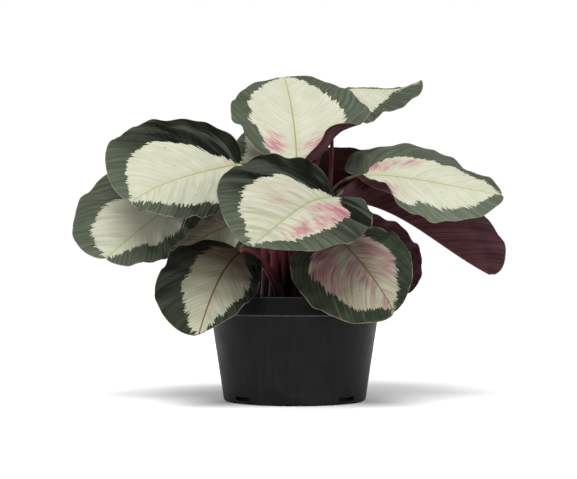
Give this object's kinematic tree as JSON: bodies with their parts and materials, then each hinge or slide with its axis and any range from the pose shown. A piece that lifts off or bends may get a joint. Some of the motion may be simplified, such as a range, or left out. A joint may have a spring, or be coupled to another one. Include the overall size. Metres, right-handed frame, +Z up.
{
  "type": "potted foliage plant",
  "caption": "Calathea in a shallow round black nursery pot: broad waved leaves with dark green feathered margins, cream and pink centres and maroon undersides, on dark red stalks.",
  "frame": {"origin": "on the surface the pot stands on, at the middle of the whole plant's footprint, within 3 mm of the pot's own axis", "axes": "+Z up along the pot's axis; -Y towards the viewer, the side to which most leaves turn; +X to the viewer's right"},
  "size_m": [0.4057, 0.2673, 0.3175],
  "materials": {
    "pot": "matte moulded plastic, near black, with a faint satin sheen on the rim band",
    "soil": "moist dark potting mix of peat and bark",
    "leaf_blade": "thin satin leaf: dark green feathered margin, cream to pink centre, maroon underside",
    "leaf_stalk": "smooth fleshy stalk, dark red to maroon, satin"
  },
  "bodies": {
    "root": {"pot": "pot", "soil": "soil", "blade_top": "leaf_blade", "stalk_top": "leaf_stalk", "blade_top_right": "leaf_blade", "stalk_top_right": "leaf_stalk", "blade_left_high": "leaf_blade", "stalk_left_high": "leaf_stalk", "blade_left_low": "leaf_blade", "stalk_left_low": "leaf_stalk", "blade_front": "leaf_blade", "stalk_front": "leaf_stalk", "blade_right_high": "leaf_blade", "stalk_right_high": "leaf_stalk", "blade_right_low": "leaf_blade", "stalk_right_low": "leaf_stalk", "blade_low_left": "leaf_blade", "stalk_low_left": "leaf_stalk", "blade_low_right": "leaf_blade", "stalk_low_right": "leaf_stalk", "blade_right_under": "leaf_blade", "stalk_right_under": "leaf_stalk", "blade_left_mid": "leaf_blade", "stalk_left_mid": "leaf_stalk", "blade_back_left": "leaf_blade", "stalk_back_left": "leaf_stalk", "blade_back_right": "leaf_blade", "stalk_back_right": "leaf_stalk", "blade_far_high": "leaf_blade", "stalk_far_high": "leaf_stalk", "blade_far_left": "leaf_blade", "stalk_far_left": "leaf_stalk", "blade_far_low_left": "leaf_blade", "stalk_far_low_left": "leaf_stalk", "blade_far_low_right": "leaf_blade", "stalk_far_low_right": "leaf_stalk", "blade_far_right": "leaf_blade", "stalk_far_right": "leaf_stalk", "blade_far_low": "leaf_blade", "stalk_far_low": "leaf_stalk"}
  },
  "joints": []
}
